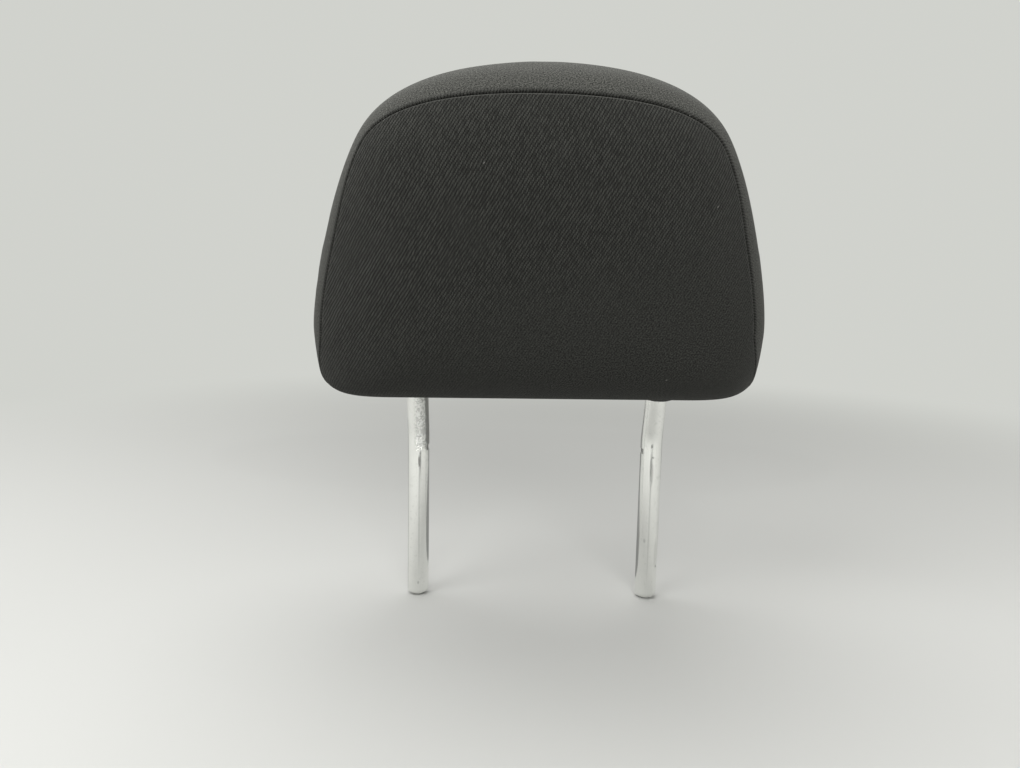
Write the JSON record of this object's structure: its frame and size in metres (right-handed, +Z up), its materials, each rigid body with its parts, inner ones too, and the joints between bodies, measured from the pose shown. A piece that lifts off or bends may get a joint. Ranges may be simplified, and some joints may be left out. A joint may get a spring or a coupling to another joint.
{
  "type": "car headrest",
  "caption": "Padded cloth car headrest with a sewn cover on a bent steel bow, whose chromed posts plug into the guide sleeves of a seat back.",
  "frame": {"origin": "midway between the flat ends of the two posts", "axes": "+Z up along the straight posts, the cushion's face looks towards -Y, +X to the right seen from the front"},
  "size_m": [0.234, 0.1027, 0.2827],
  "materials": {
    "post_chrome": "worn chrome plating on steel, soft reflections, fine scratches and pits at the bend",
    "cover_cloth": "charcoal woven twill with a soft nap",
    "pad_foam": "moulded polyurethane foam",
    "core_plastic": "moulded polypropylene",
    "trim_plastic": "fine grained black polypropylene",
    "screw_steel": "zinc plated"
  },
  "bodies": {
    "root": {"post_frame": "post_chrome", "core_front_half": "core_plastic", "core_rear_half": "core_plastic", "core_screw_1": "screw_steel", "core_screw_2": "screw_steel", "core_screw_3": "screw_steel", "core_screw_4": "screw_steel", "foam_pad": "pad_foam", "cover_face_panel": "cover_cloth", "cover_band": "cover_cloth", "cover_back_panel": "cover_cloth", "post_collar_left": "trim_plastic", "post_collar_right": "trim_plastic", "closing_strip_face": "trim_plastic", "closing_strip_back": "trim_plastic"}
  },
  "joints": []
}
